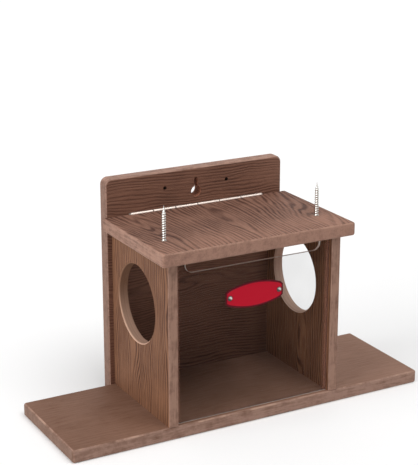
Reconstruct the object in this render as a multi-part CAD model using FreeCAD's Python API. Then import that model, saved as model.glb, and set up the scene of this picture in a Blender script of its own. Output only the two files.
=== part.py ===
"""Squirrel feeder box made of grained plastic planks.

Two side panels with round feeding holes stand on a long base board, against a back board that hangs on a wall.
A clear front sheet drops into grooves, and a roof plank is the lid, on a long knuckled hinge.
Millimetres. X runs along the base board, Y from the front to the wall, Z up. The origin is on the ground, at the
centre of the box round the whole object.
"""

import FreeCAD, Part
import os
from math import asin, cos, degrees, pi, sin, sqrt

from FreeCAD import Vector

# Planks
board_thickness = 15.0
side_thickness = 11.5
overall_depth = 162.8
house_width = 213.0
side_height = 184.0
perch_length = 111.75
back_side_margin = 6.25
back_rise = 42.5
lid_side_overhang = 11.25
lid_front_overhang = 11.3
lid_rear_gap = 1.0
edge_round = 2.5
panel_edge_round = 1.5
base_corner_radius = 3.0
lid_corner_radius = 3.0
back_corner_radius = 8.0

# Round feeding holes in the side panels, placed from the middle of each panel
feed_hole_radius = 44.0
feed_hole_rise = 24.8
feed_hole_back_shift = 7.25
feed_hole_chamfer = 1.2

# Clear front sheet and its grooves
sheet_thickness = 3.0
sheet_side_play = 0.2
sheet_end_play = 0.5
sheet_top_play = 0.5
groove_depth = 4.0
groove_from_front = 5.2
finger_cut_ear_width = 15.5
finger_cut_depth = 15.2
finger_cut_radius = 8.5

# Bare badge plate and its rivets
badge_width = 71.0
badge_height = 29.0
badge_shoulder_width = 64.0
badge_shoulder_height = 18.5
badge_end_height = 12.5
badge_thickness = 1.0
badge_below_lid = 52.1
rivet_spacing = 61.0
rivet_shank_radius = 1.4
rivet_head_radius = 2.9
rivet_head_height = 1.6
rivet_hole_play = 0.1
rivet_tail_radius = 2.2
rivet_tail_thickness = 0.8
rivet_sides = 16
rivet_dome_steps = 4

# Knuckled hinge
hinge_inset = 33.25
knuckle_count = 6
knuckle_gap = 0.4
pin_radius = 1.2
pin_play = 0.05
leaf_thickness = 1.0
leaf_offset = 0.3
leaf_margin = 0.5
hinge_axis_drop = 0.5
hinge_end_play = 1.5
pin_head_radius = 1.9
pin_head_length = 0.8
pin_sides = 16
hinge_screw_count = 4
hinge_screw_inset = 15.0
hinge_screw_length = 11.0
hinge_screw_radius = 1.4
hinge_screw_head_radius = 2.6
hinge_screw_tip_length = 2.0

# Feeding spikes
spike_side_inset = 23.25
spike_from_front = 43.0
spike_pin_length = 30.0
spike_radius = 2.4
spike_neck_radius = 2.7
spike_head_radius = 4.8
spike_tip_length = 8.0

# Assembly screws
screw_radius = 2.0
screw_head_radius = 4.0
base_screw_length = 38.0
back_screw_length = 32.0
screw_tip_length = 5.0
screw_play = 0.1
screw_sink = 0.3
screw_sides = 12
panel_base_screw_count = 2
panel_base_screw_inset = 30.0
panel_back_screw_count = 3
panel_back_screw_inset = 28.0
base_back_screw_count = 3
base_back_screw_inset = 34.0

# Fixings to the wall
keyhole_radius = 6.3
keyhole_above_lid = 14.6
keyhole_slot_width = 4.6
keyhole_slot_length = 16.4
wall_hole_radius = 2.1
wall_hole_spacing = 79.0
wall_hole_above_lid = 23.4

# Heights that follow
base_top = board_thickness
lid_bottom = base_top + side_height
lid_top = lid_bottom + board_thickness
back_height = lid_top + back_rise
feed_hole_height = base_top + side_height / 2 + feed_hole_rise
badge_centre_height = lid_bottom - badge_below_lid
keyhole_centre_height = lid_top + keyhole_above_lid
wall_hole_height = lid_top + wall_hole_above_lid

# Depths that follow, with the whole object centred on Y = 0
house_depth = overall_depth - lid_front_overhang - board_thickness
lid_front_y = -overall_depth / 2
house_front_y = lid_front_y + lid_front_overhang
back_front_y = house_front_y + house_depth
back_rear_y = back_front_y + board_thickness
lid_rear_y = back_front_y - lid_rear_gap
feed_hole_y = house_front_y + house_depth / 2 + feed_hole_back_shift

# Widths that follow
base_length = house_width + 2 * perch_length
back_width = house_width + 2 * back_side_margin
lid_width = house_width + 2 * lid_side_overhang
side_inner_x = house_width / 2 - side_thickness
side_middle_x = house_width / 2 - side_thickness / 2

# Groove and sheet places that follow
groove_front_y = house_front_y + groove_from_front
groove_width = sheet_thickness + 2 * sheet_side_play
groove_floor = base_top - groove_depth
groove_half_span = side_inner_x + groove_depth
sheet_front_y = groove_front_y + sheet_side_play
sheet_half_width = groove_half_span - sheet_end_play
sheet_top = lid_bottom - sheet_top_play
finger_cut_half = sheet_half_width - finger_cut_ear_width

# Hinge places that follow
hinge_length = lid_width - 2 * hinge_inset
knuckle_radius = pin_radius + pin_play + leaf_thickness
bore_radius = pin_radius + pin_play
leaf_face = knuckle_radius + leaf_offset
hinge_y = back_front_y - leaf_face
hinge_z = lid_top - hinge_axis_drop
leaf_height = board_thickness - hinge_axis_drop - leaf_margin
knuckle_pitch = hinge_length / knuckle_count
notch_half_length = hinge_length / 2 + hinge_end_play
hinge_screw_z = hinge_z - (leaf_height + knuckle_radius) / 2

X_AXIS = Vector(1, 0, 0)
Y_AXIS = Vector(0, 1, 0)
Z_AXIS = Vector(0, 0, 1)

# How far a cutting tool reaches past the face it starts from, and what counts as the same place
over_cut = 1.0
tolerance = 1e-6


def spread(count, half_span):
    """Evenly spaced places from -half_span to half_span."""
    if count == 1:
        return [0.0]
    return [-half_span + 2 * half_span * index / (count - 1) for index in range(count)]


def arc(start, middle, end):
    """Edge along the circle through three points."""
    return Part.Arc(start, middle, end).toShape()


def line(start, end):
    """Straight edge."""
    return Part.LineSegment(start, end).toShape()


def turned(profile, centre, direction):
    """Solid of revolution. The profile is a list of (radius, distance along direction) pairs."""
    points = [Vector(radius, 0, along) for radius, along in profile]
    face = Part.Face(Part.makePolygon(points + points[:1]))
    solid = face.revolve(Vector(0, 0, 0), Z_AXIS, 360)
    solid.Placement = FreeCAD.Placement(centre, FreeCAD.Rotation(Z_AXIS, direction))
    return solid


def ring(radius, along, sides):
    """Corners of a polygon round the Z axis, with the first one given again at the end."""
    angles = [2 * pi * index / sides for index in range(sides + 1)]
    return [Vector(radius * cos(angle), radius * sin(angle), along) for angle in angles]


def faceted(profile, sides, centre, direction):
    """Turned form with flat sides. The profile is a list of (radius, distance along direction) pairs."""
    faces = []
    for (radius, along), (next_radius, next_along) in zip(profile, profile[1:]):
        near = ring(radius, along, sides)
        far = ring(next_radius, next_along, sides)
        if along == next_along and min(radius, next_radius) == 0:
            faces.append(Part.Face(Part.makePolygon(near if radius else far)))
            continue
        for index in range(sides):
            corners = near[index : index + 2] if radius else near[:1]
            corners += reversed(far[index : index + 2]) if next_radius else far[:1]
            faces.append(Part.Face(Part.makePolygon(corners + corners[:1])))
    solid = Part.makeSolid(Part.makeShell(faces))
    if solid.Volume < 0:
        solid.reverse()
    solid.Placement = FreeCAD.Placement(centre, FreeCAD.Rotation(Z_AXIS, direction))
    return solid


def edges_along(shape, axis):
    """Straight edges of a shape that run along one axis."""
    found = []
    for edge in shape.Edges:
        start, end = edge.Vertexes[0].Point, edge.Vertexes[-1].Point
        span = end - start
        if span.Length > tolerance and span.cross(axis).Length < tolerance * span.Length:
            found.append(edge)
    return found


def rim_edges(shape, axis):
    """Edges round the two flat faces that are square to an axis."""
    box = shape.BoundBox
    low = axis.dot(Vector(box.XMin, box.YMin, box.ZMin))
    high = axis.dot(Vector(box.XMax, box.YMax, box.ZMax))
    found = []
    for edge in shape.Edges:
        edge_box = edge.BoundBox
        first = axis.dot(Vector(edge_box.XMin, edge_box.YMin, edge_box.ZMin))
        last = axis.dot(Vector(edge_box.XMax, edge_box.YMax, edge_box.ZMax))
        if last - first < tolerance and min(abs(first - low), abs(first - high)) < tolerance:
            found.append(edge)
    return found


def plank(low, high, thin_axis, corner_radius, corner_test):
    """Plank between two corners, with rounded corners where corner_test says so and softened rims."""
    size = high - low
    solid = Part.makeBox(size.x, size.y, size.z, low)
    corners = [edge for edge in edges_along(solid, thin_axis) if corner_test(edge.CenterOfMass)]
    solid = solid.makeFillet(corner_radius, corners)
    return solid.makeFillet(edge_round, rim_edges(solid, thin_axis))


def screw_profile(shank_radius, head_radius, length, tip_length):
    """Countersunk screw, from the flat of its head to its point."""
    head_height = head_radius - shank_radius
    return [
        (0, 0),
        (head_radius, 0),
        (shank_radius, head_height),
        (shank_radius, length - tip_length),
        (0, length),
    ]


def screw(head_centre, direction, shank_radius, head_radius, length, tip_length):
    """Countersunk screw, whose head lies sunk in the face at head_centre."""
    profile = screw_profile(shank_radius, head_radius, length, tip_length)
    return faceted(profile, screw_sides, head_centre + direction * screw_sink, direction)


def screw_hole(head_centre, direction, shank_radius, head_radius, length):
    """Tool that clears a countersunk screw and the sunk space over its head."""
    play = screw_play
    head_height = head_radius - shank_radius
    profile = [
        (0, -over_cut),
        (head_radius + play, -over_cut),
        (head_radius + play, screw_sink),
        (shank_radius + play, screw_sink + head_height),
        (shank_radius + play, screw_sink + length + play),
        (0, screw_sink + length + play),
    ]
    return faceted(profile, screw_sides, head_centre, direction)


def panel_base_places(side):
    """Heads of the screws that come up through the base board into one side panel."""
    middle_y = (house_front_y + back_front_y) / 2
    half_span = house_depth / 2 - panel_base_screw_inset
    return [Vector(side * side_middle_x, middle_y + y, 0) for y in spread(panel_base_screw_count, half_span)]


def panel_back_places(side):
    """Heads of the screws that go through the back board into one side panel."""
    middle_z = (base_top + lid_bottom) / 2
    half_span = side_height / 2 - panel_back_screw_inset
    places = spread(panel_back_screw_count, half_span)
    return [Vector(side * side_middle_x, back_rear_y, middle_z + z) for z in places]


def base_back_places():
    """Heads of the screws that go through the back board into the base board's rear edge."""
    half_span = back_width / 2 - base_back_screw_inset
    return [Vector(x, back_rear_y, base_top / 2) for x in spread(base_back_screw_count, half_span)]


def hinge_screw_places(side):
    """Heads of the screws in one leaf: side is -1 for the lid's leaf and 1 for the back board's."""
    inner_face_y = hinge_y + side * (leaf_face - leaf_thickness)
    half_span = hinge_length / 2 - hinge_screw_inset
    return [Vector(x, inner_face_y, hinge_screw_z) for x in spread(hinge_screw_count, half_span)]


def spike_place(side):
    """Head of one feeding spike, in the underside of the lid."""
    return Vector(side * (lid_width / 2 - spike_side_inset), lid_front_y + spike_from_front, lid_bottom)


def base_screw(place):
    return screw(place, Z_AXIS, screw_radius, screw_head_radius, base_screw_length, screw_tip_length)


def base_screw_hole(place):
    return screw_hole(place, Z_AXIS, screw_radius, screw_head_radius, base_screw_length)


def back_screw(place):
    return screw(place, -Y_AXIS, screw_radius, screw_head_radius, back_screw_length, screw_tip_length)


def back_screw_hole(place):
    return screw_hole(place, -Y_AXIS, screw_radius, screw_head_radius, back_screw_length)


def hinge_screw(place, direction):
    radius = hinge_screw_radius
    return screw(place, direction, radius, hinge_screw_head_radius, hinge_screw_length, hinge_screw_tip_length)


def hinge_screw_hole(place, direction):
    return screw_hole(place, direction, hinge_screw_radius, hinge_screw_head_radius, hinge_screw_length)


def sheet_groove():
    """Channel for the clear sheet, through the base board's top and both side panels."""
    return Part.makeBox(
        2 * groove_half_span,
        groove_width,
        lid_top - groove_floor,
        Vector(-groove_half_span, groove_front_y, groove_floor),
    )


def make_base_board():
    low = Vector(-base_length / 2, house_front_y, 0)
    high = Vector(base_length / 2, back_front_y, base_top)
    board = plank(low, high, Z_AXIS, base_corner_radius, lambda point: True)
    tools = [sheet_groove()]
    for side in (-1, 1):
        tools += [base_screw_hole(place) for place in panel_base_places(side)]
    tools += [back_screw_hole(place) for place in base_back_places()]
    return board.cut(tools)


def make_side_panel(side):
    inner = side * side_inner_x
    outer = side * house_width / 2
    low = Vector(min(inner, outer), house_front_y, base_top)
    panel = Part.makeBox(side_thickness, house_depth, side_height, low)
    panel = panel.makeFillet(panel_edge_round, edges_along(panel, Z_AXIS))
    tools = [sheet_groove(), feed_hole(low.x)]
    tools += [base_screw_hole(place) for place in panel_base_places(side)]
    tools += [back_screw_hole(place) for place in panel_back_places(side)]
    return panel.cut(tools)


def feed_hole(inner_x):
    """Tool for a round feeding hole with a softened rim at both faces of a side panel that starts at inner_x."""
    flare = feed_hole_radius + feed_hole_chamfer + over_cut
    profile = [
        (0, -over_cut),
        (flare, -over_cut),
        (feed_hole_radius, feed_hole_chamfer),
        (feed_hole_radius, side_thickness - feed_hole_chamfer),
        (flare, side_thickness + over_cut),
        (0, side_thickness + over_cut),
    ]
    return turned(profile, Vector(inner_x, feed_hole_y, feed_hole_height), X_AXIS)


def keyhole():
    """Keyhole tool: a round hole for a screw's head, and a slot above it for its shank."""
    depth = board_thickness
    centre = Vector(0, back_front_y, keyhole_centre_height)
    slot_end = centre + Z_AXIS * (keyhole_slot_length - keyhole_slot_width / 2)
    round_part = Part.makeCylinder(keyhole_radius, depth, centre, Y_AXIS)
    slot_tip = Part.makeCylinder(keyhole_slot_width / 2, depth, slot_end, Y_AXIS)
    slot = Part.makeBox(
        keyhole_slot_width,
        depth,
        slot_end.z - centre.z,
        centre - Vector(keyhole_slot_width / 2, 0, 0),
    )
    return round_part.fuse([slot_tip, slot])


def make_back_board():
    low = Vector(-back_width / 2, back_front_y, 0)
    high = Vector(back_width / 2, back_rear_y, back_height)
    board = plank(low, high, Y_AXIS, back_corner_radius, lambda point: point.z > back_height / 2)
    tools = [keyhole()]
    for side in (-1, 1):
        hole_centre = Vector(side * wall_hole_spacing / 2, back_front_y, wall_hole_height)
        tools.append(Part.makeCylinder(wall_hole_radius, board_thickness, hole_centre, Y_AXIS))
        tools += [back_screw_hole(place) for place in panel_back_places(side)]
    tools += [back_screw_hole(place) for place in base_back_places()]
    tools += [hinge_screw_hole(place, Y_AXIS) for place in hinge_screw_places(1)]
    return board.cut(tools)


def make_lid_board():
    low = Vector(-lid_width / 2, lid_front_y, lid_bottom)
    high = Vector(lid_width / 2, lid_rear_y, lid_top)
    board = plank(low, high, Z_AXIS, lid_corner_radius, lambda point: True)
    notch_front_y = hinge_y - leaf_face
    notch = Part.makeBox(
        2 * notch_half_length,
        leaf_face * 2,
        board_thickness,
        Vector(-notch_half_length, notch_front_y, lid_bottom),
    )
    tools = [notch]
    tools += [hinge_screw_hole(place, -Y_AXIS) for place in hinge_screw_places(-1)]
    for side in (-1, 1):
        tools.append(screw_hole(spike_place(side), Z_AXIS, spike_neck_radius, spike_head_radius, board_thickness))
    return board.cut(tools)


def make_front_panel():
    """Clear sheet whose top edge has a wide finger cut-out between two ears."""
    y = sheet_front_y
    cut_half = finger_cut_half
    cut_floor = sheet_top - finger_cut_depth
    radius = finger_cut_radius
    inset = radius * (1 - sqrt(0.5))
    outer_right = sheet_half_width

    def at(x, z):
        return Vector(x, y, z)

    edges = [
        line(at(-outer_right, groove_floor), at(outer_right, groove_floor)),
        line(at(outer_right, groove_floor), at(outer_right, sheet_top)),
        line(at(outer_right, sheet_top), at(cut_half, sheet_top)),
        line(at(cut_half, sheet_top), at(cut_half, cut_floor + radius)),
        arc(at(cut_half, cut_floor + radius), at(cut_half - inset, cut_floor + inset), at(cut_half - radius, cut_floor)),
        line(at(cut_half - radius, cut_floor), at(radius - cut_half, cut_floor)),
        arc(at(radius - cut_half, cut_floor), at(inset - cut_half, cut_floor + inset), at(-cut_half, cut_floor + radius)),
        line(at(-cut_half, cut_floor + radius), at(-cut_half, sheet_top)),
        line(at(-cut_half, sheet_top), at(-outer_right, sheet_top)),
        line(at(-outer_right, sheet_top), at(-outer_right, groove_floor)),
    ]
    sheet = Part.Face(Part.Wire(edges)).extrude(Y_AXIS * sheet_thickness)
    return sheet.cut(rivet_holes())


def rivet_places():
    """Points on the front face of the clear sheet where the rivets pass."""
    return [Vector(side * rivet_spacing / 2, sheet_front_y, badge_centre_height) for side in (-1, 1)]


def rivet_holes():
    """Tools for the rivets' holes, through the badge plate and the clear sheet."""
    radius = rivet_shank_radius + rivet_hole_play
    profile = [
        (0, -badge_thickness),
        (radius, -badge_thickness),
        (radius, sheet_thickness),
        (0, sheet_thickness),
    ]
    return [faceted(profile, rivet_sides, place, Y_AXIS) for place in rivet_places()]


def make_badge_plate():
    """Long plate with bowed top and bottom edges, cut corners and short upright ends."""
    y = sheet_front_y - badge_thickness
    half_width = badge_width / 2
    end_half = badge_end_height / 2
    shoulder_x = badge_shoulder_width / 2
    shoulder_z = badge_shoulder_height / 2
    crown = badge_height / 2

    def at(x, z):
        return Vector(x, y, badge_centre_height + z)

    edges = [
        line(at(-half_width, -end_half), at(-half_width, end_half)),
        line(at(-half_width, end_half), at(-shoulder_x, shoulder_z)),
        arc(at(-shoulder_x, shoulder_z), at(0, crown), at(shoulder_x, shoulder_z)),
        line(at(shoulder_x, shoulder_z), at(half_width, end_half)),
        line(at(half_width, end_half), at(half_width, -end_half)),
        line(at(half_width, -end_half), at(shoulder_x, -shoulder_z)),
        arc(at(shoulder_x, -shoulder_z), at(0, -crown), at(-shoulder_x, -shoulder_z)),
        line(at(-shoulder_x, -shoulder_z), at(-half_width, -end_half)),
    ]
    plate = Part.Face(Part.Wire(edges)).extrude(Y_AXIS * badge_thickness)
    return plate.cut(rivet_holes())


def make_rivet(place):
    """Rivet with a domed head in front of the badge plate and a flat tail behind the sheet."""
    dome_radius = (rivet_head_radius**2 + rivet_head_height**2) / (2 * rivet_head_height)
    dome_front = -badge_thickness - rivet_head_height
    dome_angle = asin(rivet_head_radius / dome_radius)
    angles = [dome_angle * step / rivet_dome_steps for step in range(rivet_dome_steps + 1)]
    profile = [(dome_radius * sin(angle), dome_front + dome_radius * (1 - cos(angle))) for angle in angles]
    profile += [
        (rivet_shank_radius, -badge_thickness),
        (rivet_shank_radius, sheet_thickness),
        (rivet_tail_radius, sheet_thickness),
        (rivet_tail_radius, sheet_thickness + rivet_tail_thickness),
        (0, sheet_thickness + rivet_tail_thickness),
    ]
    return faceted(profile, rivet_sides, place, Y_AXIS)


def make_hinge_leaf(side):
    """One leaf: side is -1 for the lid's leaf, whose plate lies in front of the pin, and 1 for the back board's.

    The plate hangs from the rolled knuckles of its own leaf and is cut back round the other leaf's knuckles.
    """
    inner = leaf_face - leaf_thickness
    bend = knuckle_radius / 2
    outline = [
        (inner, 0),
        (knuckle_radius, 0),
        (leaf_face, -bend),
        (leaf_face, -leaf_height),
        (inner, -leaf_height),
    ]
    start_x = -hinge_length / 2
    points = [Vector(start_x, hinge_y + side * offset, hinge_z + rise) for offset, rise in outline]
    plate = Part.Face(Part.makePolygon(points + points[:1])).extrude(X_AXIS * hinge_length)
    own_first = 0 if side > 0 else 1
    knuckles = []
    reliefs = []
    relief_depth = knuckle_radius + knuckle_gap
    for index in range(knuckle_count):
        x = start_x + index * knuckle_pitch
        if index % 2 == own_first:
            centre = Vector(x + knuckle_gap / 2, hinge_y, hinge_z)
            knuckles.append(Part.makeCylinder(knuckle_radius, knuckle_pitch - knuckle_gap, centre, X_AXIS))
            gap_starts = (x, x + knuckle_pitch - knuckle_gap / 2)
            reliefs += [relief(gap_x, knuckle_gap / 2, relief_depth) for gap_x in gap_starts]
        else:
            reliefs.append(relief(x, knuckle_pitch, relief_depth))
    bore = Part.makeCylinder(bore_radius, hinge_length, Vector(start_x, hinge_y, hinge_z), X_AXIS)
    leaf = plate.cut(reliefs).fuse(knuckles).cut(bore)
    direction = Y_AXIS * side
    holes = [hinge_screw_hole(place, direction) for place in hinge_screw_places(side)]
    return leaf.cut(holes).removeSplitter()


def relief(x, length, depth):
    """Block that cuts a leaf's plate back round a knuckle of the other leaf."""
    half_depth = leaf_face + knuckle_gap
    return Part.makeBox(length, 2 * half_depth, 2 * depth, Vector(x, hinge_y - half_depth, hinge_z - depth))


def make_hinge_pin():
    """Pin with a swaged head past each end knuckle."""
    half_length = hinge_length / 2
    profile = [
        (0, -half_length - pin_head_length),
        (pin_head_radius, -half_length - pin_head_length),
        (pin_head_radius, -half_length),
        (pin_radius, -half_length),
        (pin_radius, half_length),
        (pin_head_radius, half_length),
        (pin_head_radius, half_length + pin_head_length),
        (0, half_length + pin_head_length),
    ]
    return faceted(profile, pin_sides, Vector(0, hinge_y, hinge_z), X_AXIS)


def make_feeding_spike(side):
    """Spike with a countersunk head, a neck through the lid, a round pin above it and a point."""
    neck_length = board_thickness - screw_sink
    pin_end = neck_length + spike_pin_length
    neck_profile = [
        (0, 0),
        (spike_head_radius, 0),
        (spike_neck_radius, spike_head_radius - spike_neck_radius),
        (spike_neck_radius, neck_length),
        (0, neck_length),
    ]
    tip_profile = [(0, pin_end), (spike_radius, pin_end), (0, pin_end + spike_tip_length)]
    head = spike_place(side) + Z_AXIS * screw_sink
    neck = faceted(neck_profile, screw_sides, head, Z_AXIS)
    pin = Part.makeCylinder(spike_radius, spike_pin_length, head + Z_AXIS * neck_length)
    tip = faceted(tip_profile, screw_sides, head, Z_AXIS)
    return neck.fuse([pin, tip])


def group(solids):
    """Several separate solids that share one file."""
    return Part.makeCompound(solids)


def print_lid_travel():
    """Print how far the lid opens before its top face meets the back board's top edge."""
    rise = back_height - edge_round - hinge_z
    lean = degrees(asin((leaf_face - hinge_axis_drop) / rise))
    print("lid meets the back board's top edge at", round(90 + lean, 2), "degrees")


parts = {
    "base_board": make_base_board(),
    "left_side_panel": make_side_panel(-1),
    "right_side_panel": make_side_panel(1),
    "back_board": make_back_board(),
    "lid_board": make_lid_board(),
    "front_panel": make_front_panel(),
    "badge_plate": make_badge_plate(),
    "badge_rivets": group([make_rivet(place) for place in rivet_places()]),
    "lid_hinge_leaf": make_hinge_leaf(-1),
    "back_hinge_leaf": make_hinge_leaf(1),
    "hinge_pin": make_hinge_pin(),
    "lid_hinge_screws": group([hinge_screw(place, -Y_AXIS) for place in hinge_screw_places(-1)]),
    "back_hinge_screws": group([hinge_screw(place, Y_AXIS) for place in hinge_screw_places(1)]),
    "left_feeding_spike": make_feeding_spike(-1),
    "right_feeding_spike": make_feeding_spike(1),
    "left_panel_base_screws": group([base_screw(place) for place in panel_base_places(-1)]),
    "right_panel_base_screws": group([base_screw(place) for place in panel_base_places(1)]),
    "left_panel_back_screws": group([back_screw(place) for place in panel_back_places(-1)]),
    "right_panel_back_screws": group([back_screw(place) for place in panel_back_places(1)]),
    "base_back_screws": group([back_screw(place) for place in base_back_places()]),
}

os.makedirs("parts", exist_ok=True)
for node, shape in parts.items():
    shape.exportStep("parts/" + node + ".step")
    print(node, len(shape.Solids), round(shape.Volume, 1), shape.isValid())
print_lid_travel()
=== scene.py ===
"""Looks of the feeder box: materials, fine parts, lights, floor and camera.

Metres, in the same frame as the solids: X along the base board, Y from the front to the wall, Z up.
Patterns in materials, and the places and sizes of fine parts, are in millimetres.
"""

from collections import namedtuple
from math import cos, pi, radians, sin, tau

import bmesh
import bpy
from mathutils import Matrix, Vector


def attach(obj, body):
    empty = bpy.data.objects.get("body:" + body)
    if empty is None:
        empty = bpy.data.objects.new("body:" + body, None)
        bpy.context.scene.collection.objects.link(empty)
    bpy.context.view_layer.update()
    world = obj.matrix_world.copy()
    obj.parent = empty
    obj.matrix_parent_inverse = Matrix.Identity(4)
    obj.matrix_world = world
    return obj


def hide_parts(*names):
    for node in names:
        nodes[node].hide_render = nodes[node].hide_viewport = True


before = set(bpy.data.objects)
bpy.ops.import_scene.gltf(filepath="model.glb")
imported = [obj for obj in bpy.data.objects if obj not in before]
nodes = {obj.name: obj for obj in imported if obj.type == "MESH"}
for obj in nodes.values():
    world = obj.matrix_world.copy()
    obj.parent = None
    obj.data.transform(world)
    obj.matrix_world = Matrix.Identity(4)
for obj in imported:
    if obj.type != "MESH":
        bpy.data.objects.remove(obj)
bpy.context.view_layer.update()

MM = 0.001
X, Y, Z = 0, 1, 2
UP, DOWN, TO_FRONT, TO_WALL = (0, 0, 1), (0, 0, -1), (0, -1, 0), (0, 1, 0)
WHITE = (1.0, 1.0, 1.0, 1.0)

# Places and sizes that follow the solids

BASE_TOP = 15.0
LID_UNDERSIDE, LID_TOP = 199.0, 214.0
WALL_FACE = 81.4
PANEL_MIDDLE = 100.75
SHEET_MIDDLE = -63.2
KNUCKLE_PITCH = 28.17
BADGE_MIDDLE = Vector((0, -64.7, 146.9))
BADGE_THICKNESS = 1.0
RIVET_SPACING = 61.0


def rgb(red, green, blue):
    """Linear colour from the 0 to 255 values of a screen colour."""
    linear = []
    for value in (red, green, blue):
        share = value / 255
        linear.append(share / 12.92 if share <= 0.04045 else ((share + 0.055) / 1.055) ** 2.4)
    return (*linear, 1.0)


# Material nodes


class Signal:
    """A node's output that can be added, multiplied and so on."""

    def __init__(self, shader, socket):
        self.shader = shader
        self.socket = socket

    def __add__(self, other):
        return self.shader.math("ADD", self, other)

    def __sub__(self, other):
        return self.shader.math("SUBTRACT", self, other)

    def __rsub__(self, other):
        return self.shader.math("SUBTRACT", other, self)

    def __mul__(self, other):
        return self.shader.math("MULTIPLY", self, other)

    def __truediv__(self, other):
        return self.shader.math("DIVIDE", self, other)

    __radd__ = __add__
    __rmul__ = __mul__


class Shader:
    """A material made of nodes, with short ways to add the nodes it needs.

    place is the point on the surface, in millimetres.
    """

    def __init__(self, name):
        self.material = bpy.data.materials.new(name)
        self.material.use_nodes = True
        self.tree = self.material.node_tree
        self.tree.nodes.clear()
        self.surface = self.node("ShaderNodeBsdfPrincipled")
        output = self.node("ShaderNodeOutputMaterial")
        self.tree.links.new(self.surface.outputs["BSDF"], output.inputs["Surface"])
        self.coordinates = self.node("ShaderNodeTexCoord")
        self.place = self.vector("SCALE", self.coordinates.outputs["Object"], scale=1 / MM)

    def node(self, kind):
        return self.tree.nodes.new(kind)

    def feed(self, socket, value):
        """Link a signal to a socket, or set the socket to a plain value."""
        if isinstance(value, Signal):
            value = value.socket
        if isinstance(value, bpy.types.NodeSocket):
            self.tree.links.new(value, socket)
        else:
            socket.default_value = value

    def set(self, **values):
        """Set the surface's sockets, named with underscores for spaces, and give the material."""
        for name, value in values.items():
            self.feed(self.surface.inputs[name.replace("_", " ")], value)
        return self.material

    def math(self, operation, *values):
        node = self.node("ShaderNodeMath")
        node.operation = operation
        for socket, value in zip(node.inputs, values):
            self.feed(socket, value)
        return Signal(self, node.outputs["Value"])

    def absolute(self, signal):
        return self.math("ABSOLUTE", signal)

    def vector(self, operation, *vectors, scale=None):
        node = self.node("ShaderNodeVectorMath")
        node.operation = operation
        for socket, vector in zip(node.inputs, vectors):
            self.feed(socket, vector)
        if scale is not None:
            self.feed(node.inputs["Scale"], scale)
        return node.outputs["Vector"]

    def facing(self):
        """The three parts of the surface's normal."""
        return self.split(self.coordinates.outputs["Normal"])

    def split(self, vector):
        node = self.node("ShaderNodeSeparateXYZ")
        self.feed(node.inputs[0], vector)
        return [Signal(self, socket) for socket in node.outputs]

    def join(self, x=0.0, y=0.0, z=0.0):
        node = self.node("ShaderNodeCombineXYZ")
        for socket, value in zip(node.inputs, (x, y, z)):
            self.feed(socket, value)
        return node.outputs["Vector"]

    def distance(self, x, y):
        """Length of the vector with these two parts."""
        node = self.node("ShaderNodeVectorMath")
        node.operation = "LENGTH"
        self.feed(node.inputs[0], self.join(x, y))
        return Signal(self, node.outputs["Value"])

    def noise(self, vector, waves, detail=2.0, roughness=0.5):
        """Noise from about -0.25 to 0.25, with its waves per millimetre in each of three directions."""
        node = self.node("ShaderNodeTexNoise")
        self.feed(node.inputs["Vector"], self.vector("MULTIPLY", vector, waves))
        node.inputs["Scale"].default_value = 1.0
        node.inputs["Detail"].default_value = detail
        node.inputs["Roughness"].default_value = roughness
        return Signal(self, node.outputs["Fac"]) - 0.5

    def even_noise(self, waves, detail=2.0, roughness=0.5):
        """Noise with the same number of waves per millimetre in all directions."""
        return self.noise(self.place, (waves, waves, waves), detail, roughness)

    def step(self, value, low, high, out_low=0.0, out_high=1.0):
        """Smooth step from out_low to out_high as value goes from low to high."""
        node = self.node("ShaderNodeMapRange")
        node.interpolation_type = "SMOOTHSTEP"
        ends = {"Value": value, "From Min": low, "From Max": high, "To Min": out_low, "To Max": out_high}
        for name, end in ends.items():
            self.feed(node.inputs[name], end)
        return Signal(self, node.outputs["Result"])

    def mix(self, factor, first, second):
        """Colour that goes from the first to the second as factor goes from 0 to 1."""
        node = self.node("ShaderNodeMix")
        node.data_type = "RGBA"
        colours = [socket for socket in node.inputs if socket.type == "RGBA"]
        self.feed(node.inputs["Factor"], factor)
        self.feed(colours[0], first)
        self.feed(colours[1], second)
        return next(socket for socket in node.outputs if socket.type == "RGBA")

    def bump(self, height, distance):
        node = self.node("ShaderNodeBump")
        node.inputs["Distance"].default_value = distance
        self.feed(node.inputs["Height"], height)
        return node.outputs["Normal"]


# Grained plastic planks

Eye = namedtuple("Eye", "across along half_width half_length")
Bore = namedtuple("Bore", "across along radius low_colour high_colour")
Fade = namedtuple("Fade", "start end depth")

RIM = rgb(151, 115, 99)
RIM_GLINT = rgb(205, 168, 146)

# Distances past a bore's radius: its shaded wall ends, its outer edge starts and ends, and the face starts.
# The wall's shade is painted
WALL_END, EDGE_START, EDGE_END, FACE_START = 0.2, 0.7, 1.0, 1.8


def grain_lines(shader, grain, across, along, spacing, lean, fan, eyes):
    """Grain lines: 1 along the middle of a line and 0 between lines."""
    # Lines run nearly straight, drift in slow waves and flow round the eyes
    drift = shader.noise(grain, (0.012, 0.0, 0.009), detail=1.0) * 26.0
    drift = drift + shader.noise(grain, (0.06, 0.0, 0.03)) * 4.0
    place = across / (1.0 + along * fan) + along * lean + drift
    for eye in eyes:
        sideways = across - eye.across
        wide = sideways / eye.half_width
        long = (along - eye.along) / eye.half_length
        closeness = shader.math("EXPONENT", 0.0 - (wide * wide + long * long))
        place = place - sideways * closeness
    uneven = shader.noise(grain, (0.045, 0.0, 0.0), detail=1.0) * 3.0
    from_line = shader.math("PINGPONG", place / spacing + uneven, 0.5) * 2.0
    line = shader.step(from_line, 0.1, 0.7, 1.0, 0.0)

    # Lines fade and strengthen along their length
    strength = shader.noise(grain, (0.05, 0.0, 0.018))
    return line * shader.step(strength, -0.16, 0.1, 0.42, 1.0)


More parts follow.
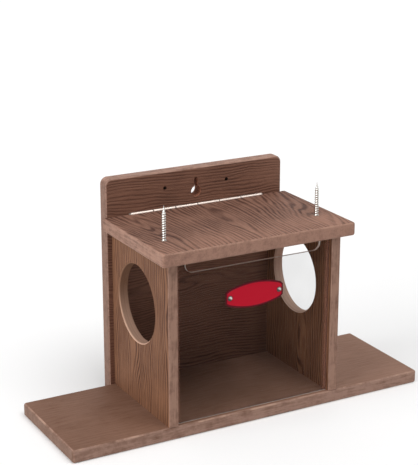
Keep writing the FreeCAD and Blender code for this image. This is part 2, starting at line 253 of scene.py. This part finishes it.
def plank_material(
    name, axes, seed, spacing, relief, light, dark, rim=RIM, end=RIM, lean=0.0, fan=0.0, eyes=(),
    line_depth=1.0, fibre_depth=1.0, fade=None, glints=0.1, bores=(),
):
    """Matte plastic with wood grain embossed on its two broad faces, and plain, paler edges.

    axes names the directions across the grain, through the plank and along the grain, as 0, 1 or 2.
    seed moves the pattern, spacing is the distance between grain lines, and relief is how deep they are.
    light and dark colour the grain, rim the long edges, and end the faces across the grain.
    lean tilts the lines, and fan spreads them as they run along. They flow round each eye, a long patch.
    line_depth and fibre_depth are how dark the lines, and the fibres between them, are.
    fade is two places along the grain, between which painted shade darkens the plank, and how far it does.
    glints is how strong the patches of painted highlight on the rounded rims are. Each bore is a round hole,
    and its wall has one colour at its low side along the grain and another at its high side, which paint
    light and shade on it; the wall is painted darker than its outer edge, as shade.
    """
    shader = Shader(name)
    place = shader.split(shader.place)
    across, through, along = (place[axis] for axis in axes)
    facing = shader.facing()
    broad_facing = shader.absolute(facing[axes[1]])
    broad = shader.step(broad_facing, 0.86, 0.99)
    cut_end = shader.step(shader.absolute(facing[axes[2]]), 0.6, 0.9)
    grain = shader.join(across, through * 0.2, along)
    grain = shader.vector("ADD", grain, (seed * 37.0, seed * 53.0, seed * 71.0))
    line = grain_lines(shader, grain, across, along, spacing, lean, fan, eyes) * line_depth

    # Short fibres and pores lie between the lines, over slow patches and fine specks
    fibre = shader.noise(grain, (0.75, 0.0, 0.035), detail=3.0, roughness=0.62)
    pores = shader.step(shader.noise(grain, (1.7, 0.0, 0.11)), 0.08, 0.2)
    patch = shader.even_noise(0.018, detail=3.0)
    speck = shader.even_noise(1.6, detail=3.0)
    # fade paints shade that deepens along the grain
    faded = shader.step(along, fade.start, fade.end, 0.0, fade.depth) if fade else 0.0
    tone = line * 0.95 + pores * 0.25 + fibre * (1.1 * fibre_depth) + patch * 0.6 + speck * 0.3 + faded + 0.08
    embossed = shader.mix(tone, light, dark)

    # Edges are clouded, and streaked along the grain
    cloud = shader.even_noise(0.12, detail=4.0, roughness=0.6)
    streak = shader.noise(shader.join(across, through, along), (0.45, 0.45, 0.04), detail=3.0, roughness=0.6)
    mottle = cloud * 1.2 + streak * (1.6 - cut_end * 0.9) + patch * 0.3 + speck * 0.5
    plain = shader.mix(mottle + faded * 0.4 + 0.12, shader.mix(cut_end, rim, end), dark)

    # Rounded rims carry patches of painted highlight
    rounded = shader.step(broad_facing, 0.15, 0.6)
    glint_patches = shader.step(shader.even_noise(0.05, detail=3.0, roughness=0.6), -0.06, 0.12, 0.0, glints)
    plain = shader.mix(rounded * glint_patches, plain, RIM_GLINT)

    # Marks of the cutter run round each bore's wall, which is painted darker than its outer edge, as shade,
    # and painted lighter or darker up its height with the bore's two colours
    inside = 0.0
    marks = shader.noise(shader.join(through), (0.45, 0.0, 0.0), detail=3.0) * 0.9
    for bore in bores:
        off = shader.distance(across - bore.across, along - bore.along)
        wall = shader.step(off, bore.radius + EDGE_END, bore.radius + FACE_START, 1.0, 0.0)
        rise = shader.step(along - bore.along, -bore.radius, bore.radius * 0.35)
        marks_and_shade = marks + shader.step(off, bore.radius + WALL_END, bore.radius + EDGE_START, 0.24, 0.0)
        wall_colour = shader.mix(marks_and_shade, shader.mix(rise, bore.low_colour, bore.high_colour), dark)
        plain = shader.mix(wall * 0.85, plain, wall_colour)
        inside = shader.math("MAXIMUM", inside, wall)

    height = (fibre * 0.7 - line - pores * 0.3) * broad + speck * 0.35
    return shader.set(
        Base_Color=shader.mix(broad, plain, embossed),
        Roughness=shader.step(fibre, -0.2, 0.2, 0.58, 0.72) + inside * 0.25,
        Normal=shader.bump(height, relief),
        Specular_IOR_Level=0.22,
    )


# Places across and along the grain, and radii. The keyhole's slot is covered by two circles
FEED_HOLE = (5.4, 131.8, 44.0)
KEYHOLE = ((228.6, 0.0, 6.3), (236.0, 0.0, 5.0), (241.0, 0.0, 4.0))
WALL_SCREW_HOLES = ((237.4, -39.5, 2.1), (237.4, 39.5, 2.1))
KEYHOLE_WALL = rgb(160, 102, 76)
# The small screw holes' walls are painted near black, as shade inside them
SCREW_HOLE_SHADE = rgb(44, 26, 18)

# The feed holes' walls carry painted light, strongest at their foot, and the left one's top is painted
# darker, as shade
left_feed_hole = Bore(*FEED_HOLE, low_colour=rgb(212, 173, 150), high_colour=rgb(130, 95, 72))
right_feed_hole = Bore(*FEED_HOLE, low_colour=rgb(234, 200, 180), high_colour=rgb(180, 144, 126))
back_bores = [Bore(*hole, KEYHOLE_WALL, KEYHOLE_WALL) for hole in KEYHOLE]
back_bores += [Bore(*hole, SCREW_HOLE_SHADE, SCREW_HOLE_SHADE) for hole in WALL_SCREW_HOLES]

side_look = {
    "axes": (Y, X, Z), "spacing": 4.2, "relief": 0.4 * MM, "line_depth": 0.9,
    "light": rgb(131, 91, 66), "dark": rgb(66, 34, 20), "rim": rgb(147, 114, 98),
}
planks = {
    # The lid's fade is painted shade, deepening towards the hinge at the back
    "lid_board": plank_material(
        "lid_plank", (X, Z, Y), seed=1, spacing=5.8, relief=0.6 * MM, fan=0.0016, line_depth=0.66,
        light=rgb(153, 113, 95), dark=rgb(76, 48, 38), rim=rgb(159, 123, 106),
        eyes=(Eye(2, 4, 15, 42), Eye(92, -30, 26, 52), Eye(-88, 10, 20, 70)), fade=Fade(-65, -8, 0.36),
    ),
    # The back board's end colour paints its side edges darker, as shade
    "back_board": plank_material(
        "back_plank", (Z, Y, X), seed=2, spacing=3.4, relief=0.4 * MM, lean=0.03, line_depth=0.6,
        light=rgb(125, 87, 70), dark=rgb(68, 42, 33), rim=rgb(160, 126, 111), end=rgb(134, 104, 90),
        eyes=(Eye(120, -30, 16, 90),), bores=back_bores,
    ),
    "left_side_panel": plank_material(
        "left_plank", seed=3, eyes=(Eye(14, 92, 16, 44),), bores=(left_feed_hole,), **side_look,
    ),
    "right_side_panel": plank_material(
        "right_plank", seed=4, eyes=(Eye(-12, 60, 14, 50),), bores=(right_feed_hole,), **side_look,
    ),
    # The base's fade is painted shade, deepening towards its left end
    "base_board": plank_material(
        "base_plank", (Y, Z, X), seed=5, spacing=6.5, relief=0.16 * MM, lean=0.02, line_depth=0.12,
        light=rgb(145, 111, 94), dark=rgb(84, 49, 26), rim=rgb(149, 118, 104), end=rgb(132, 104, 90),
        eyes=(Eye(5, 150, 22, 90), Eye(-10, -170, 25, 80)), fade=Fade(110, -130, 0.36),
        fibre_depth=0.4, glints=0.36,
    ),
}


# Metal, enamel and clear plastic


def steel_material(name, colour, roughness, painted_shade=None):
    """Bright zinc-plated steel with faint rolling marks and slow clouds in its gloss.

    painted_shade, where given, takes the shader and gives a signal that is 1 where shade is painted on the
    steel.
    """
    shader = Shader(name)
    marks = shader.noise(shader.place, (0.3, 5.0, 5.0), detail=3.0)
    cloud = shader.even_noise(0.3)
    rough = shader.step(cloud, -0.2, 0.2, roughness * 0.8, roughness * 1.3)
    darker = (*(0.86 * value for value in colour[:3]), 1.0)
    tint = shader.mix(cloud + 0.5, colour, darker)
    if painted_shade:
        shade_mask = painted_shade(shader)
        # Where shade is painted, the tint darkens to near black and the gloss roughens
        tint = shader.mix(shade_mask, tint, rgb(52, 45, 44))
        rough = rough + shade_mask * 0.3
    return shader.set(Base_Color=tint, Metallic=1.0, Roughness=rough, Normal=shader.bump(marks, 0.02 * MM))


def knuckle_joints(shader):
    """Painted shade in the joints between the hinge's knuckles."""
    across = shader.split(shader.place)[X]
    off = shader.math("PINGPONG", across / KNUCKLE_PITCH, 0.5) * KNUCKLE_PITCH
    return shader.step(off, 0.3, 1.0, 0.6, 0.0)


def rivet_shade(shader):
    """Painted shade round the foot of each rivet's dome, and a painted dark reflection over its lower left
    part.
    """
    across, _, height = shader.split(shader.place)
    sideways = across - shader.math("SIGN", across) * (RIVET_SPACING / 2)
    up = height - BADGE_MIDDLE.z
    ring = shader.step(shader.distance(sideways, up), 1.7, 2.4, 0.0, 0.8)
    below = shader.step(up + sideways * 0.7, -0.9, 0.9, 0.9, 0.0)
    return shader.math("MAXIMUM", ring, below)


# Distances from the middle, between which the clear sheet turns brownish towards its grooves
CLEAR_END, BROWN_START = 90.7, 91.5


def sheet_material():
    """Clear sheet with nearly invisible faces, pale cut edges, a pale band along the front of its foot and
    brownish sides.

    It has no mirror reflection, which is too faint to see and would speckle the dark inside of the box.
    """
    shader = Shader("clear_plastic")
    across, depth, height = shader.split(shader.place)
    cut = shader.step(shader.absolute(shader.facing()[Y]), 0.5, 0.8, 1.0, 0.0)
    foot = shader.step(height, BASE_TOP + 0.3, BASE_TOP + 1.0, 0.35, 0.0)
    front = shader.step(depth, SHEET_MIDDLE - 0.5, SHEET_MIDDLE + 0.5, 1.0, 0.0)
    side = shader.step(shader.absolute(across), CLEAR_END, BROWN_START)
    pale = shader.math("MAXIMUM", cut, foot * front)
    haze = shader.step(shader.even_noise(0.02), -0.2, 0.2, 0.085, 0.115)
    colour = shader.mix(side, rgb(38, 36, 35), rgb(150, 104, 88))
    colour = shader.mix(shader.step(pale, 0.0, 0.3), colour, rgb(244, 232, 224))
    alpha = shader.math("MAXIMUM", pale * 0.78, side * 0.24) + haze
    return shader.set(Base_Color=colour, Roughness=0.3, Alpha=alpha, Specular_IOR_Level=0.0)


def enamel_material(name, colour, shade):
    """Smooth enamel that varies between two close colours."""
    shader = Shader(name)
    speck = shader.even_noise(0.9)
    return shader.set(
        Base_Color=shader.mix(speck + 0.5, colour, shade),
        Roughness=0.28,
        Normal=shader.bump(speck, 0.02 * MM),
        Specular_IOR_Level=0.12,
    )


zinc = steel_material("zinc_steel", rgb(212, 198, 189), 0.36, knuckle_joints)
rivet_steel = steel_material("rivet_steel", rgb(214, 211, 206), 0.22, rivet_shade)
screw_steel = steel_material("screw_steel", rgb(204, 201, 196), 0.26)
clear_plastic = sheet_material()
red_enamel = enamel_material("red_enamel", rgb(186, 6, 38), rgb(172, 4, 33))
red_border = enamel_material("dark_red_enamel", rgb(96, 8, 26), rgb(80, 6, 20))


def dress(node, material):
    """Give one of the solids its material."""
    mesh = nodes[node].data
    mesh.materials.clear()
    mesh.materials.append(material)


for node, material in planks.items():
    dress(node, material)
for node in ("lid_hinge_leaf", "back_hinge_leaf", "hinge_pin"):
    dress(node, zinc)
dress("front_panel", clear_plastic)


# Shapes of the fine parts


def make_object(name, build):
    """Turn a finished build into an object in the scene, with all its faces looking outwards."""
    mesh = bpy.data.meshes.new(name)
    bmesh.ops.recalc_face_normals(build, faces=build.faces)
    build.to_mesh(mesh)
    build.free()
    made = bpy.data.objects.new(name, mesh)
    bpy.context.scene.collection.objects.link(made)
    return made


def add_piece(name, build, material, body, replaced, smooth=40):
    """Add a piece that rides on a body, may stand for some of the solids and is smooth up to an angle."""
    piece = make_object(name, build)
    piece.data.materials.append(material)
    piece.data.shade_smooth()
    piece.data.set_sharp_from_angle(angle=radians(smooth))
    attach(piece, body)
    if replaced:
        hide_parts(*replaced)


def loft(build, loops):
    """Join equal loops of vertices by faces, one after the other, and close the first and the last."""
    for lower, upper in zip(loops, loops[1:]):
        for index in range(len(lower)):
            after = (index + 1) % len(lower)
            build.faces.new((lower[index], lower[after], upper[after], upper[index]))
    build.faces.new(reversed(loops[0]))
    build.faces.new(loops[-1])


Thread = namedtuple("Thread", "start end pitch depth")


def turned(profile, sides, thread=None):
    """Build of a turned shape about Z, from (radius, height) pairs.

    Between the thread's start and end the radius follows a helical ridge, and the thread's depth is the
    groove's share of that radius.
    """
    build = bmesh.new()
    rings = []
    for radius, height in profile:
        ring = []
        for index in range(sides):
            angle = tau * index / sides
            here = radius
            if thread and thread.start <= height <= thread.end:
                turn = (height / thread.pitch - index / sides) % 1
                here = radius * (1 - thread.depth * abs(2 * turn - 1))
            ring.append(build.verts.new((here * cos(angle) * MM, here * sin(angle) * MM, height * MM)))
        rings.append(ring)
    loft(build, rings)
    return build


# Screws and spikes

SCREW_SIDES = 20
RINGS_PER_TURN = 6
TIP_RADIUS = 0.3
SHORT_NECK = 0.5
NECK_TO_THREAD = 0.1
ScrewForm = namedtuple("ScrewForm", "head_radius crest pitch thread_depth recess tip_length")
ASSEMBLY_SCREW = ScrewForm(4.0, 2.0, 2.2, 0.25, 2.1, 6)
HINGE_SCREW = ScrewForm(2.6, 1.4, 1.2, 0.25, 1.4, 2.5)
SPIKE = ScrewForm(4.8, 2.4, 2.6, 0.27, 2.4, 9)


def screw(form, length, neck=None):
    """Build of a countersunk screw along -Z, with a cross recess and a thread that tapers to a tip.

    The head's face is at the origin. A plain neck joins the head to the thread, and is as thick as the
    thread's crest, unless neck gives its radius and its lower end.
    """
    neck_radius, neck_end = neck or (form.crest, form.head_radius - form.crest + SHORT_NECK)
    profile = [(form.head_radius, 0), (neck_radius, neck_radius - form.head_radius), (neck_radius, -neck_end)]
    start = -neck_end - NECK_TO_THREAD
    for index in range(int((length + start) / (form.pitch / RINGS_PER_TURN)) + 1):
        height = start - index * form.pitch / RINGS_PER_TURN
        taper = min(1.0, (length + height) / form.tip_length)
        profile.append((max(TIP_RADIUS, form.crest * taper), height))
    thread = Thread(-length, start, form.pitch, form.thread_depth)
    blank = make_object("blank", turned(profile, SCREW_SIDES, thread))

    # The cross recess is two crossed bars, cut out of the head
    cross = bmesh.new()
    bar_size = [share * form.recess * MM for share in (2.0, 0.5, 1.2)]
    for turn in (0, pi / 2):
        bar = bmesh.ops.create_cube(cross, size=1)["verts"]
        bmesh.ops.scale(cross, vec=bar_size, verts=bar)
        bmesh.ops.rotate(cross, matrix=Matrix.Rotation(turn, 3, "Z"), verts=bar)
    tool = make_object("tool", cross)
    cut = blank.modifiers.new("recess", "BOOLEAN")
    cut.operation = "DIFFERENCE"
    cut.solver = "EXACT"
    cut.use_self = True
    cut.object = tool
    shape = bpy.data.meshes.new_from_object(blank.evaluated_get(bpy.context.evaluated_depsgraph_get()))
    build = bmesh.new()
    build.from_mesh(shape)
    bpy.data.objects.remove(blank)
    bpy.data.objects.remove(tool)
    bpy.data.meshes.remove(shape)
    return build


COPY_TWIST = 0.7


def spread(pattern, places, direction):
    """Build with a copy of the pattern at each place, each twisted further, with +Z turned to direction."""
    turn = Vector(UP).rotation_difference(Vector(direction)).to_matrix().to_4x4()
    mesh = bpy.data.meshes.new("pattern")
    pattern.to_mesh(mesh)
    pattern.free()
    build = bmesh.new()
    for index, place in enumerate(places):
        before = len(build.verts)
        build.from_mesh(mesh)
        build.verts.ensure_lookup_table()
        twist = Matrix.Rotation(COPY_TWIST * index, 4, "Z")
        matrix = Matrix.Translation(Vector(place) * MM) @ turn @ twist
        bmesh.ops.transform(build, matrix=matrix, verts=build.verts[before:])
    bpy.data.meshes.remove(mesh)
    return build


def add_screws(node, pattern, places, direction, body):
    """Add threaded screws, with heads that face direction, in place of a node of plain ones."""
    add_piece(node + "_threaded", spread(pattern, places, direction), screw_steel, body, [node])


# Assembly screws: through the base board and through the back board
HEAD_SUNK = 0.3
BACK_HEAD = WALL_FACE - HEAD_SUNK
BASE_SCREW_LENGTH, BACK_SCREW_LENGTH = 38, 32
BASE_SCREW_ROW = (-40.1, 36.4)
BACK_SCREW_ROW = (43, 107, 171)
BASE_BACK_ROW = (-78.75, 0, 78.75)


def panel_base_places(side):
    """Places of the heads under one side panel: side is -1 for the left and 1 for the right."""
    return [(side * PANEL_MIDDLE, y, HEAD_SUNK) for y in BASE_SCREW_ROW]


def panel_back_places(side):
    """Places of the heads behind one side panel."""
    return [(side * PANEL_MIDDLE, BACK_HEAD, z) for z in BACK_SCREW_ROW]


base_back_places = [(x, BACK_HEAD, BASE_TOP / 2) for x in BASE_BACK_ROW]
screw_sets = {
    "left_panel_base_screws": (panel_base_places(-1), DOWN, BASE_SCREW_LENGTH),
    "right_panel_base_screws": (panel_base_places(1), DOWN, BASE_SCREW_LENGTH),
    "left_panel_back_screws": (panel_back_places(-1), TO_WALL, BACK_SCREW_LENGTH),
    "right_panel_back_screws": (panel_back_places(1), TO_WALL, BACK_SCREW_LENGTH),
    "base_back_screws": (base_back_places, TO_WALL, BACK_SCREW_LENGTH),
}
for node, (places, direction, length) in screw_sets.items():
    add_screws(node, screw(ASSEMBLY_SCREW, length), places, direction, "box")

# Hinge screws, four through each leaf
HINGE_SCREW_LENGTH = 11
HINGE_SCREW_HEIGHT = 205.38
HINGE_SCREW_ROW = (-69.5, -23.17, 23.17, 69.5)
LID_LEAF_HEAD, BACK_LEAF_HEAD = 62.0, 65.7
hinge_screw_sets = {
    "lid_hinge_screws": (LID_LEAF_HEAD, TO_WALL, "lid"),
    "back_hinge_screws": (BACK_LEAF_HEAD, TO_FRONT, "box"),
}
for node, (y, direction, body) in hinge_screw_sets.items():
    places = [(x, y, HINGE_SCREW_HEIGHT) for x in HINGE_SCREW_ROW]
    add_screws(node, screw(HINGE_SCREW, HINGE_SCREW_LENGTH), places, direction, body)

# Feeding spikes: long screws driven up through the lid, with their heads under it
SPIKE_LENGTH = 52.7
SPIKE_NECK = (2.7, LID_TOP - LID_UNDERSIDE - HEAD_SUNK)
SPIKE_ACROSS, SPIKE_DEPTH = 94.5, -38.4
for node, side in (("left_feeding_spike", -1), ("right_feeding_spike", 1)):
    place = (side * SPIKE_ACROSS, SPIKE_DEPTH, LID_UNDERSIDE + HEAD_SUNK)
    add_screws(node, screw(SPIKE, SPIKE_LENGTH, SPIKE_NECK), [place], DOWN, "lid")


# Badge: a dark red plate with a bright red field, and two domed rivets

BADGE_LENGTH, BADGE_HEIGHT = 71.0, 29.0
SHOULDER_LENGTH, SHOULDER_HEIGHT = 64.0, 18.5
END_HEIGHT = 12.5
CURVE_STEPS = 16


def badge_outline(inset):
    """Outline of the badge as (x, z) pairs: curved top and bottom, cut shoulders and short straight ends."""
    half_length = BADGE_LENGTH / 2 - inset
    half_shoulder = SHOULDER_LENGTH / 2 - inset * 0.8
    end = END_HEIGHT / 2 - inset * 0.4
    shoulder = SHOULDER_HEIGHT / 2 - inset
    middle = BADGE_HEIGHT / 2 - inset
    top = []
    for index in range(2 * CURVE_STEPS + 1):
        share = index / CURVE_STEPS - 1
        top.append((half_shoulder * share, shoulder + (middle - shoulder) * (1 - share * share)))
    upper = [(-half_length, end)] + top + [(half_length, end)]
    return upper + [(x, -z) for x, z in reversed(upper)]


def add_badge_layer(name, material, steps, replaced=()):
    """Add a layer of the badge that rises from the sheet through steps of (inset, height)."""
    build = bmesh.new()
    loops = []
    for inset, rise in steps:
        points = (BADGE_MIDDLE + Vector((x, -rise, z)) for x, z in badge_outline(inset))
        loops.append([build.verts.new(point * MM) for point in points])
    loft(build, loops)
    add_piece(name, build, material, "box", replaced, smooth=30)


plate_steps = ((0, 0), (0, 0.85), (0.2, 1.0), (1.5, 1.0), (1.8, 0.8))
field_steps = ((1.75, 0.75), (1.85, 0.88), (3.0, 0.94), (6.0, 0.96))
add_badge_layer("badge_rim", red_border, plate_steps, ["badge_plate"])
add_badge_layer("badge_field", red_enamel, field_steps)

# A rivet is a stem and a flange, with a dome on it
RIVET_SIDES = 40
DOME_STEPS = 10
dome = [(1.2, -3.5), (1.2, 0), (2.75, 0), (2.9, 0.12), (2.9, 0.3)]
for index in range(DOME_STEPS):
    turn = pi / 2 * index / DOME_STEPS
    dome.append((2.55 * cos(turn), 0.35 + 1.25 * sin(turn)))
dome.append((0.05, 1.6))
badge_front = BADGE_MIDDLE.y - BADGE_THICKNESS
rivet_places = [(side * RIVET_SPACING / 2, badge_front, BADGE_MIDDLE.z) for side in (-1, 1)]
rivets = spread(turned(dome, RIVET_SIDES), rivet_places, TO_FRONT)
add_piece("badge_domed_rivets", rivets, rivet_steel, "box", ["badge_rivets"])


# World, lights and floor


def seen_signal(tree, unseen, seen):
    """Value that is seen for camera, glossy and transmission rays, and unseen for the rest."""
    path = tree.nodes.new("ShaderNodeLightPath")
    signal = path.outputs["Is Camera Ray"]
    for kind in ("Is Glossy Ray", "Is Transmission Ray"):
        node = tree.nodes.new("ShaderNodeMath")
        node.operation = "MAXIMUM"
        tree.links.new(signal, node.inputs[0])
        tree.links.new(path.outputs[kind], node.inputs[1])
        signal = node.outputs["Value"]
    node = tree.nodes.new("ShaderNodeMapRange")
    node.inputs["To Min"].default_value = unseen
    node.inputs["To Max"].default_value = seen
    tree.links.new(signal, node.inputs["Value"])
    return node.outputs["Result"]


def white_studio(lighting):
    """World that shows pure white, but lights the object at a gentler strength."""
    world = bpy.data.worlds.new("studio")
    bpy.context.scene.world = world
    world.use_nodes = True
    tree = world.node_tree
    background = tree.nodes["Background"]
    background.inputs["Color"].default_value = WHITE
    tree.links.new(seen_signal(tree, unseen=lighting, seen=1.0), background.inputs["Strength"])


def sun(name, source, strength, spread_angle):
    """Soft far light that shines from the direction source."""
    light = bpy.data.lights.new(name, "SUN")
    light.energy = strength
    light.angle = radians(spread_angle)
    holder = bpy.data.objects.new(name, light)
    bpy.context.scene.collection.objects.link(holder)
    holder.rotation_euler = Vector(source).to_track_quat("Z", "Y").to_euler()


white_studio(lighting=0.42)
sun("key", source=(-0.93, -0.12, 0.35), strength=2.0, spread_angle=50)
sun("overhead", source=(0.12, -0.42, 0.9), strength=1.5, spread_angle=40)

# The floor lies just under the base board, so that no two faces share a plane
FLOOR_HALF = 12.0
FLOOR_DROP = 0.3 * MM
corners = [(x * FLOOR_HALF, y * FLOOR_HALF, 0) for x, y in ((-1, -1), (1, -1), (1, 1), (-1, 1))]
floor_mesh = bpy.data.meshes.new("floor")
floor_mesh.from_pydata(corners, [], [(0, 1, 2, 3)])
floor = bpy.data.objects.new("floor", floor_mesh)
floor.location = (0, 0, -FLOOR_DROP)
bpy.context.scene.collection.objects.link(floor)
paper = Shader("white_paper")
paper.set(Base_Color=(0.82, 0.82, 0.82, 1.0), Roughness=0.9, Specular_IOR_Level=0.0)
paper.set(Emission_Color=WHITE, Emission_Strength=seen_signal(paper.tree, unseen=0.0, seen=0.16))
floor_mesh.materials.append(paper.material)


# Camera, at the photograph's angle

IMAGE_HEIGHT = 465
FOCAL_PIXELS = 1409.3
SENSOR = 36.0
CAMERA_PLACE = (-0.72875, -1.28636, 0.66523)
LOOKS_DOWN = 17.55
HEADING = -28.86
camera_data = bpy.data.cameras.new("camera")
camera_data.sensor_width = SENSOR
camera_data.lens = FOCAL_PIXELS / IMAGE_HEIGHT * SENSOR
camera = bpy.data.objects.new("camera", camera_data)
bpy.context.scene.collection.objects.link(camera)
camera.location = CAMERA_PLACE
camera.rotation_euler = (radians(90 - LOOKS_DOWN), 0, radians(HEADING))
bpy.context.scene.camera = camera
bpy.context.scene.view_settings.view_transform = "Standard"
